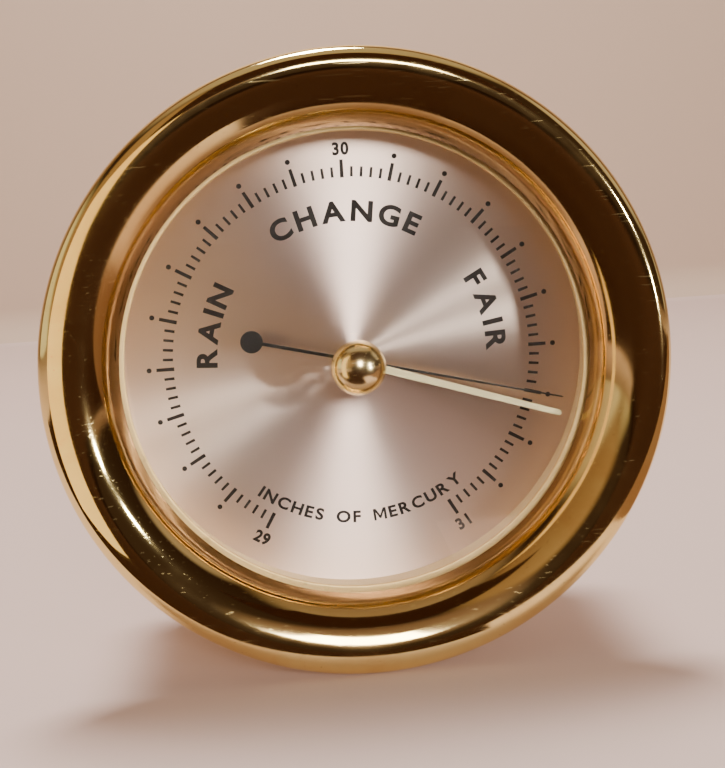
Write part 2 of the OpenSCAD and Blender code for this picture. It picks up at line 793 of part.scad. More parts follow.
module chain_arm() {
  tip = [
    rocker_x - chain_arm_metal * sin(rocker_tilt),
    rocker_z + chain_arm_metal * cos(rocker_tilt)
  ];
  color("gold") on_wall() shaft_arm(chain_y - chain_arm_t / 2, chain_arm_t, tip, chain_arm_t);
}

// Fine chain from the arm's tip to the drum: round links joined by flat ones
module chain() {
  links = floor(chain_end / chain_pitch);
  color("gray") on_wall() translate([0, chain_y, chain_z - chain_h / 2]) {
    for (i = [0:links]) translate([chain_end - i * chain_pitch, 0, 0]) cylinder(d = chain_w, h = chain_h);
    translate([0, -chain_w / 4, chain_h / 4]) cube([chain_end, chain_w / 2, chain_h / 2]);
  }
}

flared_bezel();
case_drum();
case_lugs();
back_cover();
back_cover_screws();
glass();
glass_gasket();
glass_ring();
spacer_ring();
dial();
dial_feet();
dial_foot_screws();
movement_plate();
plate_screws();
set_knob();
set_shaft();
set_hand();
friction_washer();
glass_bush();
bush_nut();
pressure_hand();
centre_arbor();
hairspring_collet();
hairspring();
hairspring_stud();
arbor_bridge();
bridge_pillars();
bridge_screws();
aneroid_capsule();
capsule_post();
adjusting_screw();
spring_block();
spring_block_screws();
mainspring();
main_lever();
lever_rivets();
link();
shaft_bracket();
bracket_screws();
rocking_shaft();
crank_arm();
chain_arm();
chain();
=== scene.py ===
import json
import math

import bmesh
import bpy
from mathutils import Matrix, Vector


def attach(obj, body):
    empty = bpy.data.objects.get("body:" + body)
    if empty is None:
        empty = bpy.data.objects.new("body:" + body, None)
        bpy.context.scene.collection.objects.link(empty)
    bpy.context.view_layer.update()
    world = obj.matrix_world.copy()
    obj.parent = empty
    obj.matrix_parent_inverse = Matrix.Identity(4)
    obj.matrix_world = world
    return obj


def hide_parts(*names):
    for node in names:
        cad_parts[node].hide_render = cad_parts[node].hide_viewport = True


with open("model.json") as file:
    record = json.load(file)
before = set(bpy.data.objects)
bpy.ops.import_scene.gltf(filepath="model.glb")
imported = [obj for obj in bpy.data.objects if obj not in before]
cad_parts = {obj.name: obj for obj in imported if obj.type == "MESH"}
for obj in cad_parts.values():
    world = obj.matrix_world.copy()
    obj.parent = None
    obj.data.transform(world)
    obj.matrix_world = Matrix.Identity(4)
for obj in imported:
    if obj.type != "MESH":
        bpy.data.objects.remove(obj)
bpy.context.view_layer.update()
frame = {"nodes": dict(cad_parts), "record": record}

# Camera, fitted to the rim, the opening and the scale. The dial faces -Y, +Z is up
DIAL_CENTRE = Vector((0.0, -0.038, 0.0))
CAM_RIGHT = Vector((0.9959, -0.0743, -0.0600)).normalized()
CAM_BACK = Vector((-0.0650, -0.9873, 0.1450)).normalized()
CAM_DISTANCE = 0.366
LENS_MM = 61.6
SENSOR_MM = 36.0
FRAMING_SHIFT = (0.0129, -0.0362)

cam_up = CAM_BACK.cross(CAM_RIGHT).normalized()
cam_right = cam_up.cross(CAM_BACK).normalized()
cam_data = bpy.data.cameras.new("camera")
cam_data.lens = LENS_MM
cam_data.sensor_width = SENSOR_MM
cam_data.sensor_fit = "AUTO"
cam_data.shift_x, cam_data.shift_y = FRAMING_SHIFT
cam_data.clip_start = 0.01
camera = bpy.data.objects.new("camera", cam_data)
bpy.context.scene.collection.objects.link(camera)
turn = Matrix((cam_right, cam_up, CAM_BACK)).transposed().to_4x4()
camera.matrix_world = Matrix.Translation(DIAL_CENTRE + CAM_DISTANCE * CAM_BACK) @ turn
bpy.context.scene.camera = camera


# Materials

# The Mix node's colour sockets
MIX_A, MIX_B, MIX_OUT = 6, 7, 2


def rgba(colour):
    """A node socket as it is, or a colour with its alpha."""
    return colour if isinstance(colour, bpy.types.NodeSocket) else (*colour, 1.0)


def shade(colour, share):
    """A colour times a share, held at 1."""
    return tuple(min(1.0, share * c) for c in colour)


class Nodes:
    """A material's node tree with short calls for the nodes used here."""

    def __init__(self, name):
        self.mat = bpy.data.materials.new(name)
        self.mat.use_nodes = True
        self.tree = self.mat.node_tree
        self.tree.nodes.clear()
        self.out = self.new("ShaderNodeOutputMaterial")
        self.bsdf = self.new("ShaderNodeBsdfPrincipled")
        self.link(self.bsdf.outputs[0], self.out.inputs[0])
        self.place = self.new("ShaderNodeTexCoord").outputs["Object"]

    def new(self, kind, **settings):
        """A new node with its settings."""
        node = self.tree.nodes.new(kind)
        for key, value in settings.items():
            setattr(node, key, value)
        return node

    def link(self, a, b):
        self.tree.links.new(a, b)

    def put(self, socket, value):
        """Links a socket's value, or sets a plain one."""
        if isinstance(value, bpy.types.NodeSocket):
            self.link(value, socket)
        else:
            socket.default_value = value

    def math(self, operation, a, b=0.0):
        """One sum on two numbers or sockets."""
        node = self.new("ShaderNodeMath", operation=operation)
        self.put(node.inputs[0], a)
        self.put(node.inputs[1], b)
        return node.outputs[0]

    def spread(self, value, low, high, to_low=0.0, to_high=1.0):
        """Maps low..high onto to_low..to_high and holds it there."""
        node = self.new("ShaderNodeMapRange")
        node.clamp = True
        self.put(node.inputs["Value"], value)
        limits = {"From Min": low, "From Max": high, "To Min": to_low, "To Max": to_high}
        for key, number in limits.items():
            node.inputs[key].default_value = number
        return node.outputs[0]

    def mix(self, share, a, b):
        """Colour a, going over to b as share goes to 1."""
        node = self.new("ShaderNodeMix", data_type="RGBA")
        self.put(node.inputs[0], share)
        self.put(node.inputs[MIX_A], rgba(a))
        self.put(node.inputs[MIX_B], rgba(b))
        return node.outputs[MIX_OUT]

    def noise(self, scale, vector=None, detail=3.0, rough=0.5, distort=0.0):
        """Noise from 0 to 1, in the object's own place unless a vector is given."""
        node = self.new("ShaderNodeTexNoise")
        self.put(node.inputs["Vector"], vector or self.place)
        node.inputs["Scale"].default_value = scale
        node.inputs["Detail"].default_value = detail
        node.inputs["Roughness"].default_value = rough
        node.inputs["Distortion"].default_value = distort
        return node.outputs["Fac"]

    def stretched(self, sx, sy, sz, turn_deg):
        """The object's place, scaled along each axis and turned."""
        node = self.new("ShaderNodeMapping")
        self.link(self.place, node.inputs["Vector"])
        node.inputs["Rotation"].default_value = [math.radians(a) for a in turn_deg]
        node.inputs["Scale"].default_value = (sx, sy, sz)
        return node.outputs[0]

    def polar(self, per_metre, per_turn, along=0.0):
        """(radius, angle, height) round the Y axis as a vector for lines, and the plain radius."""
        split = self.new("ShaderNodeSeparateXYZ")
        self.link(self.place, split.inputs[0])
        x, y, z = split.outputs
        square = self.math("ADD", self.math("MULTIPLY", x, x), self.math("MULTIPLY", z, z))
        radius = self.math("SQRT", square)
        angle = self.math("ARCTAN2", x, z)
        join = self.new("ShaderNodeCombineXYZ")
        self.link(self.math("MULTIPLY", radius, per_metre), join.inputs[0])
        self.link(self.math("MULTIPLY", angle, per_turn), join.inputs[1])
        self.link(self.math("MULTIPLY", y, along), join.inputs[2])
        return join.outputs[0], radius

    def bump(self, height, distance, strength, after=None):
        """A bumped normal, on top of another if one is given."""
        node = self.new("ShaderNodeBump")
        node.inputs["Strength"].default_value = strength
        node.inputs["Distance"].default_value = distance
        self.put(node.inputs["Height"], height)
        if after is not None:
            self.link(after, node.inputs["Normal"])
        return node.outputs[0]

    def finish(self, colour, rough, metal, normal, **sockets):
        """Sets the shader's sockets, named with _ for a space, and gives the material."""
        b = self.bsdf.inputs
        self.put(b["Base Color"], rgba(colour))
        self.put(b["Roughness"], rough)
        b["Metallic"].default_value = metal
        if normal is not None:
            self.link(normal, b["Normal"])
        for key, value in sockets.items():
            b[key.replace("_", " ")].default_value = value
        return self.mat


SCRATCH_STRETCH = 0.035
SCRATCH_FROM, SCRATCH_TO = 0.715, 0.745


def scratches(n, scale, turn_deg):
    """Thin straight scratches, one way."""
    vector = n.stretched(scale * SCRATCH_STRETCH, scale, scale, turn_deg)
    streaks = n.noise(1.0, vector, detail=1.0, rough=0.4, distort=0.2)
    return n.spread(streaks, SCRATCH_FROM, SCRATCH_TO)


def polished_brass(name, colour, dull, rough, lines, throat_shade=None):
    """Turned and polished brass: fine rings, patches of tarnish and thin scratches.

    The last argument is (colour, radius it holds to, radius it is gone by): painted shade, the colour
    darker towards a throat.
    """
    n = Nodes(name)
    rings_at, radius = n.polar(5200.0, 2.0, 3000.0)
    rings = n.noise(1.0, rings_at, detail=2.0)
    patches = n.spread(n.noise(26.0, detail=5.0, rough=0.62, distort=0.6), 0.42, 0.68)
    specks = n.spread(n.noise(900.0, detail=2.0), 0.70, 0.76)
    cuts = n.math("MAXIMUM", scratches(n, 1500.0, (0, 24, 0)), scratches(n, 2100.0, (0, -52, 8)))
    tint = n.mix(n.math("MULTIPLY", patches, 0.55), colour, dull)
    tint = n.mix(n.math("MULTIPLY", specks, 0.5), tint, shade(dull, 0.55))
    # Painted shade: the colour darkens towards the throat
    if throat_shade:
        throat_shade_colour, holds_to, gone_by = throat_shade
        tint = n.mix(n.spread(radius, holds_to, gone_by, 0.80, 0.0), tint, throat_shade_colour)
    tint = n.mix(n.math("MULTIPLY", cuts, 0.15), tint, shade(colour, 1.12))
    worn = n.spread(patches, 0.0, 1.0, rough, rough + 0.07)
    roughness = n.math("ADD", worn, n.math("MULTIPLY", cuts, 0.10))
    normal = n.bump(rings, 0.0000035, lines)
    normal = n.bump(cuts, 0.000003, 0.25, normal)
    return n.finish(tint, roughness, 1.0, normal)


SATIN_DEPTH = 0.000006


def satin_brass(name, colour, dull, rough, per_metre, per_turn, along):
    """Brass brushed or turned round the Y axis, lightly aged."""
    n = Nodes(name)
    lines_at, _ = n.polar(per_metre, per_turn, along)
    lines = n.noise(1.0, lines_at, rough=0.6)
    patches = n.spread(n.noise(34.0, detail=5.0, rough=0.65, distort=0.8), 0.38, 0.7)
    spots = n.spread(n.noise(210.0, rough=0.6), 0.62, 0.72)
    tint = n.mix(n.math("MULTIPLY", patches, 0.6), colour, dull)
    tint = n.mix(n.math("MULTIPLY", spots, 0.45), tint, shade(dull, 0.6))
    tint = n.mix(n.spread(lines, 0.35, 0.65, 0.0, 0.2), tint, shade(colour, 0.82))
    roughness = n.spread(n.math("ADD", patches, lines), 0.3, 1.5, rough, rough + 0.16)
    return n.finish(tint, roughness, 1.0, n.bump(lines, SATIN_DEPTH, 0.6))


def brushed_steel(name, colour, rough, turn_deg=(0.0, 0.0, 0.0), warm=(0.30, 0.24, 0.20)):
    """Steel with a straight grain and faint stains."""
    n = Nodes(name)
    grain = n.noise(1.0, n.stretched(90.0, 2600.0, 2600.0, turn_deg), rough=0.6)
    stain = n.spread(n.noise(70.0, detail=4.0, rough=0.6, distort=0.5), 0.55, 0.75)
    tint = n.mix(n.math("MULTIPLY", stain, 0.35), colour, warm)
    tint = n.mix(n.spread(grain, 0.3, 0.7, 0.0, 0.25), tint, shade(colour, 0.75))
    roughness = n.spread(grain, 0.3, 0.7, rough, rough + 0.18)
    return n.finish(tint, roughness, 1.0, n.bump(grain, 0.000004, 0.5))


def silver_dial(name):
    """Silvered aluminium, brushed in circles, with a faint warm bloom towards the edge."""
    n = Nodes(name)
    fine_at, radius = n.polar(16000.0, 1.3)
    coarse_at, _ = n.polar(3000.0, 0.7)
    fine = n.noise(1.0, fine_at, detail=2.0, rough=0.7)
    coarse = n.noise(1.0, coarse_at, detail=2.0)
    bloom = n.spread(radius, 0.030, 0.064)
    mottle = n.noise(60.0, detail=4.0, rough=0.55)
    tint = n.mix(bloom, (0.86, 0.70, 0.65), (0.87, 0.70, 0.61))
    tint = n.mix(n.spread(fine, 0.3, 0.7, 0.0, 0.16), tint, (0.58, 0.47, 0.43))
    tint = n.mix(n.spread(mottle, 0.45, 0.75, 0.0, 0.10), tint, (0.66, 0.52, 0.46))
    roughness = n.spread(coarse, 0.3, 0.7, 0.36, 0.40)
    around = n.new("ShaderNodeTangent", direction_type="RADIAL", axis="Y")
    n.link(around.outputs[0], n.bsdf.inputs["Tangent"])
    normal = n.bump(fine, 0.0000012, 0.5)
    return n.finish(tint, roughness, 1.0, normal, Anisotropic=1.0, Anisotropic_Rotation=0.25)


def clear_glass(name):
    """Clear glass that lets lamps through to the dial."""
    n = Nodes(name)
    smear = n.spread(n.noise(45.0, detail=4.0, rough=0.6, distort=1.2), 0.5, 0.8)
    n.finish((0.985, 0.99, 0.98), n.spread(smear, 0.0, 1.0, 0.004, 0.02), 0.0, None,
             Transmission_Weight=1.0, IOR=1.46)
    path = n.new("ShaderNodeLightPath")
    clear = n.new("ShaderNodeBsdfTransparent")
    clear.inputs[0].default_value = (0.96, 0.97, 0.955, 1.0)
    both = n.new("ShaderNodeMixShader")
    n.link(path.outputs["Is Shadow Ray"], both.inputs[0])
    n.link(n.bsdf.outputs[0], both.inputs[1])
    n.link(clear.outputs[0], both.inputs[2])
    n.link(both.outputs[0], n.out.inputs[0])
    return n.mat


def painted(name, colour, worn, rough, grain=900.0, depth=0.000004, gloss=0.5):
    """Paint, rubber or card with a fine peel and soft wear."""
    n = Nodes(name)
    peel = n.noise(grain, rough=0.6)
    wear = n.spread(n.noise(55.0, detail=5.0, rough=0.65, distort=0.5), 0.5, 0.78)
    tint = n.mix(n.math("MULTIPLY", wear, 0.5), colour, worn)
    roughness = n.spread(peel, 0.3, 0.7, rough, rough + 0.12)
    return n.finish(tint, roughness, 0.0, n.bump(peel, depth, 0.5), Specular_IOR_Level=gloss)


# Each look: its maker and name, then the maker's own arguments in their order
MADE = [
    # The bezel's last tuple is painted shade, darker towards its throat
    (polished_brass, "bezel_brass", (0.92, 0.75, 0.33), (0.74, 0.46, 0.16), 0.065, 0.22,
     ((0.40, 0.225, 0.085), 0.0652, 0.0712)),
    (satin_brass, "seat_brass", (0.95, 0.72, 0.35), (0.84, 0.60, 0.26), 0.46, 3800.0, 2.0, 3000.0),
    (polished_brass, "knob_brass", (0.96, 0.80, 0.42), (0.84, 0.64, 0.30), 0.19, 0.2),
    (satin_brass, "case_brass", (0.74, 0.53, 0.25), (0.46, 0.30, 0.14), 0.24, 700.0, 1.2, 2400.0),
    (satin_brass, "back_brass", (0.70, 0.51, 0.25), (0.42, 0.28, 0.14), 0.30, 2600.0, 1.4, 0.0),
    (satin_brass, "turned_brass", (0.76, 0.56, 0.28), (0.48, 0.32, 0.15), 0.22, 4200.0, 2.0, 3000.0),
    (polished_brass, "set_hand_brass", (0.97, 0.89, 0.54), (0.88, 0.76, 0.42), 0.42, 0.3),
    (clear_glass, "clear_glass"),
    (painted, "tan_rubber", (0.60, 0.42, 0.20), (0.44, 0.30, 0.14), 0.5),
    (painted, "cream_ring", (0.95, 0.77, 0.45), (0.87, 0.67, 0.36), 0.38, 500.0),
    (silver_dial, "silver_dial"),
    (painted, "black_hand", (0.010, 0.009, 0.009), (0.028, 0.024, 0.022), 0.42, 1500.0, 0.000002, 0.3),
    (brushed_steel, "plain_steel", (0.58, 0.575, 0.57), 0.24),
    (brushed_steel, "spring_steel", (0.22, 0.28, 0.42), 0.2, (0, 20, 0), (0.20, 0.16, 0.20)),
    (satin_brass, "capsule_metal", (0.72, 0.68, 0.55), (0.50, 0.46, 0.34), 0.28, 900.0, 2.0, 900.0),
    (painted, "cast_block", (0.10, 0.102, 0.108), (0.22, 0.215, 0.21), 0.42, 1400.0, 0.00003),
    (painted, "dial_ink", (0.012, 0.009, 0.009), (0.03, 0.022, 0.020), 0.55, 2200.0, 0.000001, 0.25),
]
LOOKS = {name: maker(name, *rest) for maker, name, *rest in MADE}

SLOT_OF = {row["node"]: row["material_slot"] for row in frame["record"]["subparts"]}

for node_name, node_obj in frame["nodes"].items():
    for member in node_obj if isinstance(node_obj, (list, tuple)) else [node_obj]:
        if member.type != "MESH":
            continue
        look = LOOKS[SLOT_OF[node_name]]
        if not member.material_slots:
            member.data.materials.append(look)
        for s in member.material_slots:
            s.link = "OBJECT"
            s.material = look


# Shapes

# Corners closer than this are joined, in metres
WELD = 0.0000005


def to_row(x, y, z):
    """Bench millimetres, dial up and 30 towards y, to the row's frame in metres."""
    return (x / 1000.0, -z / 1000.0, y / 1000.0)


def add_piece(name, bm, look, body, replaced=(), sharp_deg=38.0):
    """Makes bm a piece of the object, smooth apart from its sharp edges."""
    bmesh.ops.remove_doubles(bm, verts=bm.verts, dist=WELD)
    bmesh.ops.recalc_face_normals(bm, faces=bm.faces)
    limit = math.radians(sharp_deg)
    for face in bm.faces:
        face.smooth = True
    for edge in bm.edges:
        edge.smooth = not (len(edge.link_faces) == 2 and edge.calc_face_angle(0.0) > limit)
    mesh = bpy.data.meshes.new(name)
    bm.to_mesh(mesh)
    bm.free()
    obj = bpy.data.objects.new(name, mesh)
    bpy.context.scene.collection.objects.link(obj)
    mesh.materials.append(LOOKS[look])
    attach(obj, body)
    if replaced:
        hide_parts(*replaced)


def lathe(profile, steps):
    """Turns a closed outline of (radius, height) points round the bench's z axis."""
    bm = bmesh.new()
    rings = []
    for k in range(steps):
        a = 2.0 * math.pi * k / steps
        rings.append([bm.verts.new(to_row(r * math.sin(a), r * math.cos(a), z)) for r, z in profile])
    count = len(profile)
    for k in range(steps):
        here, after = rings[k], rings[(k + 1) % steps]
        for i in range(count):
            j = (i + 1) % count
            if profile[i][0] < 1e-6 and profile[j][0] < 1e-6:
                continue
            bm.faces.new((here[i], here[j], after[j], after[i]))
    bmesh.ops.remove_doubles(bm, verts=bm.verts, dist=WELD)
    return bm


def arc(centre, radius, from_deg, to_deg, steps):
    """Points on a circle, by angle counterclockwise from the +r direction."""
    points = []
    for i in range(steps + 1):
        a = math.radians(from_deg + (to_deg - from_deg) * i / steps)
        points.append((centre[0] + radius * math.cos(a), centre[1] + radius * math.sin(a)))
    return points


# Sizes of the case in millimetres, the same as in the part's source
DRUM_R = 66.0
DRUM_WALL = 0.9
FLARE_W = 16.5
THROAT_STEP = 3.3
SHEET = 1.0
LIP_LEAN = 75.0
LIP_BEAD_R = 0.6
RIM_ROLL_R = 4.3
SKIRT_L = 8.4
DIAL_FACE = 38.0
SPACER_H = 12.5
SPACER_WALL = 1.0
GLASS_RING_T = 1.0
GLASS_RING_SHOW = 1.1
GLASS_T = 2.5
GASKET_T = 0.4
BUSH_FLANGE_T = 0.9
WASHER_T = 0.3
FREE_GAP = 0.3
FIXED_GAP = 0.05

RIM_R = DRUM_R + FLARE_W
THROAT_R = DRUM_R - THROAT_STEP
DRUM_IN_R = DRUM_R - DRUM_WALL
DISC_R = DRUM_IN_R - 2.0 * FIXED_GAP
SPACER_IN_R = DISC_R - SPACER_WALL
RING_IN_R = THROAT_R - GLASS_RING_SHOW
SKIRT_IN_R = DRUM_R + FIXED_GAP
SKIRT_OUT_R = SKIRT_IN_R + SHEET
RING_BACK = DIAL_FACE + SPACER_H
GLASS_BACK = RING_BACK + GLASS_RING_T
GLASS_FRONT = GLASS_BACK + GLASS_T
LIP_BACK = GLASS_FRONT + GASKET_T
SKIRT_BACK = RING_BACK - SKIRT_L

# Set hand's knob, with its shoulder and side as shares of its height and radius
KNOB_R = 7.3
KNOB_H = 9.8
KNOB_Z = GLASS_FRONT + BUSH_FLANGE_T + FREE_GAP + WASHER_T
KNOB_NECK_R = KNOB_R - 2.0
KNOB_BORE_R = 1.6
KNOB_EDGE_R = 1.6
KNOB_SHOULDER = 0.42
KNOB_SIDE = 0.575

# Rounded edges
FOLD_R = 0.5
SKIRT_END_R = 0.2
DRUM_FRONT_R = 0.2
SPACER_FRONT_R = 0.25
SPACER_BACK_R = 0.15
KNOB_FOOT_R = 0.3

# The inner wall's end, a little past the start of the drum's rounded back edge
WALL_END = 0.3
# Keeps the seat's face clear of the glass, so that the two don't share one surface
SEAT_DROP = 0.04


def flare_outline():
    """The bell mouth with its rolled rim and throat bead, and the flange and skirt behind it."""
    lean = math.radians(LIP_LEAN)
    crest_r = RIM_R - RIM_ROLL_R
    lip_r = THROAT_R + LIP_BEAD_R * (1.0 - math.sin(lean))
    lip_z = LIP_BACK + SHEET - LIP_BEAD_R * (1.0 - math.cos(lean))
    rho = (crest_r - lip_r) / math.sin(lean)
    c = (crest_r, lip_z - rho * math.cos(lean))
    roll = (crest_r, c[1] + rho - RIM_ROLL_R)
    bead = (c[0] - (rho - LIP_BEAD_R) * math.sin(lean), c[1] + (rho - LIP_BEAD_R) * math.cos(lean))
    inner = rho - SHEET
    meet = math.degrees(math.asin((LIP_BACK + SHEET - c[1]) / inner))
    low = math.degrees(math.asin((LIP_BACK - bead[1]) / LIP_BEAD_R))
    points = arc(c, rho, 90.0 + LIP_LEAN, 90.0, 56)
    points += arc(roll, RIM_ROLL_R, 90.0, 0.0, 22)[1:]
    points += arc((RIM_R - SHEET / 2.0, roll[1]), SHEET / 2.0, 0.0, -180.0, 10)[1:]
    points += arc(roll, RIM_ROLL_R - SHEET, 0.0, 90.0, 16)[1:]
    points += arc(c, inner, 90.0, 180.0 - meet, 36)[1:]
    points += arc((SKIRT_OUT_R - FOLD_R, LIP_BACK + SHEET - FOLD_R), FOLD_R, 90.0, 0.0, 5)
    points += arc((SKIRT_OUT_R - SKIRT_END_R, SKIRT_BACK + SKIRT_END_R), SKIRT_END_R, 0.0, -90.0, 3)
    points += [(SKIRT_IN_R, SKIRT_BACK), (SKIRT_IN_R, LIP_BACK)]
    points += arc(bead, LIP_BEAD_R, low, LIP_LEAN + 90.0 - 360.0, 12)[:-1]
    return points


def drum_outline():
    """The drum's wall, its back edge rounded over and its front corner broken."""
    half = DRUM_WALL / 2.0
    points = [(DRUM_IN_R, WALL_END)]
    points += arc((DRUM_IN_R + half, half), half, 180.0, 360.0, 10)
    points += arc((DRUM_R - DRUM_FRONT_R, RING_BACK - DRUM_FRONT_R), DRUM_FRONT_R, 0.0, 90.0, 3)
    return points + [(DRUM_IN_R, RING_BACK)]


def spacer_outline():
    """The spacer ring, its inner corners broken."""
    front, back = SPACER_FRONT_R, SPACER_BACK_R
    points = [(DISC_R, DIAL_FACE), (DISC_R, RING_BACK)]
    points += arc((SPACER_IN_R + front, RING_BACK - front), front, 90.0, 180.0, 4)
    points += arc((SPACER_IN_R + back, DIAL_FACE + back), back, 180.0, 270.0, 3)
    return points


def seat_outline():
    """The ring that the glass sits on, its inner edge round."""
    front = GLASS_BACK - SEAT_DROP
    edge_r = (front - RING_BACK) / 2.0
    points = [(SKIRT_IN_R - FIXED_GAP, RING_BACK), (SKIRT_IN_R - FIXED_GAP, front)]
    points += arc((RING_IN_R + edge_r, RING_BACK + edge_r), edge_r, 90.0, 270.0, 12)
    return points


def knob_outline():
    """The knob's neck and bore, and its dome of two arcs that is widest at the shoulder."""
    shoulder_z = KNOB_SHOULDER * KNOB_H
    side_r = KNOB_SIDE * KNOB_R
    side_x = KNOB_R - side_r
    rise = KNOB_H - shoulder_z
    dome_r = (side_x * side_x + rise * rise - side_r * side_r) / (2.0 * (rise - side_r))
    meet_deg = math.degrees(math.acos(side_x / (dome_r - side_r)))
    edge_at = (KNOB_R - KNOB_EDGE_R, KNOB_Z + shoulder_z)
    foot_r = KNOB_NECK_R - KNOB_FOOT_R
    bore_top = KNOB_Z + KNOB_H / 2.0
    points = [(KNOB_BORE_R, KNOB_Z), (foot_r, KNOB_Z)]
    points += arc((foot_r, KNOB_Z + KNOB_FOOT_R), KNOB_FOOT_R, -90.0, 0.0, 4)
    points += [(KNOB_NECK_R, edge_at[1] - KNOB_EDGE_R)]
    points += arc(edge_at, KNOB_EDGE_R, -90.0, 0.0, 14)
    points += arc((side_x, edge_at[1]), side_r, 0.0, meet_deg, 26)[1:]
    points += arc((0.0, KNOB_Z + KNOB_H - dome_r), dome_r, meet_deg, 90.0, 24)[1:]
    return points + [(0.0, bore_top), (KNOB_BORE_R, bore_top)]


add_piece("bezel_flare", lathe(flare_outline(), 360), "bezel_brass", "case", ["flared_bezel"], 50.0)
add_piece("drum_wall", lathe(drum_outline(), 300), "case_brass", "case", ["case_drum"])
add_piece("spacer_band", lathe(spacer_outline(), 300), "cream_ring", "case", ["spacer_ring"])
add_piece("glass_seat", lathe(seat_outline(), 300), "seat_brass", "case", ["glass_ring"])
add_piece("knob_dome", lathe(knob_outline(), 160), "knob_brass", "set_hand", ["set_knob"])


# Dial print

# The ink's underside and face, in millimetres from the wall
INK_LOW = DIAL_FACE - 0.01
INK_HIGH = DIAL_FACE + 0.03


def prism(bm, outline):
    """A flat shape in bench x and y with the ink's thickness."""
    bottom = [bm.verts.new(to_row(x, y, INK_LOW)) for x, y in outline]
    top = [bm.verts.new(to_row(x, y, INK_HIGH)) for x, y in outline]
    bm.faces.new(bottom)
    bm.faces.new(top)
    for i in range(len(outline)):
        j = (i + 1) % len(outline)
        bm.faces.new((bottom[i], bottom[j], top[j], top[i]))


def spoke(bm, azimuth, r_in, r_out, w_in, w_out):
    """A tick along the radius."""
    a = math.radians(azimuth)
    out = Vector((math.sin(a), math.cos(a)))
    side = Vector((math.cos(a), -math.sin(a)))
    corners = [r_in * out - w_in / 2 * side, r_in * out + w_in / 2 * side,
               r_out * out + w_out / 2 * side, r_out * out - w_out / 2 * side]
    prism(bm, [tuple(c) for c in corners])


# Angles in degrees clockwise from 30, sizes in millimetres: (inner r, outer r, inner w, outer w)
SCALE_FROM, SCALE_TO, MAJOR_STEP, MINOR_STEP = -150, 150, 15, 3
MINOR_TICK = (49.6, 52.4, 0.78, 0.70)
MAJOR_TICK = (49.4, 54.3, 1.02, 0.92)
DOTS_AT_R, DOT_R, DOT_SIDES = 56.3, 0.70, 24

majors, minors, dots = bmesh.new(), bmesh.new(), bmesh.new()
for azimuth in range(SCALE_FROM, SCALE_TO + 1, MINOR_STEP):
    if azimuth % MAJOR_STEP:
        spoke(minors, azimuth, *MINOR_TICK)
        continue
    spoke(majors, azimuth, *MAJOR_TICK)
    if azimuth % SCALE_TO:
        a = math.radians(azimuth)
        dot_at = (DOTS_AT_R * math.sin(a), DOTS_AT_R * math.cos(a))
        prism(dots, arc(dot_at, DOT_R, 0.0, 360.0 - 360.0 / DOT_SIDES, DOT_SIDES - 1))
add_piece("dial_major_ticks", majors, "dial_ink", "case")
add_piece("dial_minor_ticks", minors, "dial_ink", "case")
add_piece("dial_dots", dots, "dial_ink", "case")


# The letter M in a unit box, its middle strokes ending above the foot of the letter
LETTER_M = [(0, 0), (0, 1), (0.22, 1), (0.5, 0.40), (0.78, 1), (1, 1), (1, 0), (0.82, 0),
            (0.82, 0.70), (0.56, 0.14), (0.44, 0.14), (0.18, 0.70), (0.18, 0)]
# Widths of the M and of the gap between words, as shares of a capital's height
LETTER_M_WIDTH = 1.02
WORD_GAP = 0.62


def glyph(char, weight):
    """A letter's outline as a flat mesh at size 1: (vertices, faces, left, right)."""
    if char == "M":
        cap = max(p.y for p in glyph("H", weight)[0])
        wide = LETTER_M_WIDTH * cap
        points = [Vector((wide * x, (cap + weight) * y - weight, 0.0)) for x, y in LETTER_M]
        return points, [tuple(range(len(points)))], 0.0, wide
    curve = bpy.data.curves.new("glyph", "FONT")
    curve.body = char
    curve.size = 1.0
    curve.offset = weight
    curve.resolution_u = 6
    holder = bpy.data.objects.new("glyph", curve)
    bpy.context.scene.collection.objects.link(holder)
    bpy.context.view_layer.update()
    depsgraph = bpy.context.evaluated_depsgraph_get()
    mesh = bpy.data.meshes.new_from_object(holder.evaluated_get(depsgraph))
    points = [v.co.copy() for v in mesh.vertices]
    faces = [tuple(p.vertices) for p in mesh.polygons]
    bpy.data.meshes.remove(mesh)
    bpy.data.objects.remove(holder)
    bpy.data.curves.remove(curve)
    return points, faces, min(p.x for p in points), max(p.x for p in points)


def arc_words(bm, text, r_foot, r_head, azimuth, span, weight, wide):
    """Letters along a circle: feet on r_foot, heads on r_head, centred on azimuth."""
    outward = r_head > r_foot
    cap = max(p.y for p in glyph("H", 0.0)[0])
    size = abs(r_head - r_foot) / (cap + 2.0 * weight)
    letters = [None if c == " " else glyph(c, weight) for c in text]
    widths = [(g[3] - g[2]) * size * wide if g else WORD_GAP * size * cap * wide for g in letters]
    r_mid = (r_foot + r_head) / 2.0
    length = math.radians(span) * r_mid
    gap = (length - sum(widths)) / max(1, len(text) - 1)
    at = -length / 2.0
    for g, width in zip(letters, widths):
        if g:
            points, faces, left, right = g
            middle = (at + width / 2.0) / r_mid
            a = math.radians(azimuth) + (middle if outward else -middle)
            out = Vector((math.sin(a), math.cos(a)))
            foot = out * r_foot
            up = out * (1.0 if outward else -1.0)
            along = Vector((up.y, -up.x))
            centre = (left + right) / 2.0
            flat = []
            for p in points:
                q = foot + along * ((p.x - centre) * size * wide) + up * ((p.y + weight) * size)
                flat.append((q.x, q.y))
            raise_letter(bm, flat, faces)
        at += width + gap


def raise_letter(bm, flat, faces):
    """A flat letter given the ink's thickness."""
    low = [bm.verts.new(to_row(x, y, INK_LOW)) for x, y in flat]
    high = [bm.verts.new(to_row(x, y, INK_HIGH)) for x, y in flat]
    count = {}
    for face in faces:
        bm.faces.new([high[i] for i in face])
        bm.faces.new([low[i] for i in reversed(face)])
        for i, j in zip(face, face[1:] + face[:1]):
            key = (min(i, j), max(i, j))
            count[key] = count.get(key, 0) + 1
    for (i, j), uses in count.items():
        if uses == 1:
            bm.faces.new((low[i], low[j], high[j], high[i]))


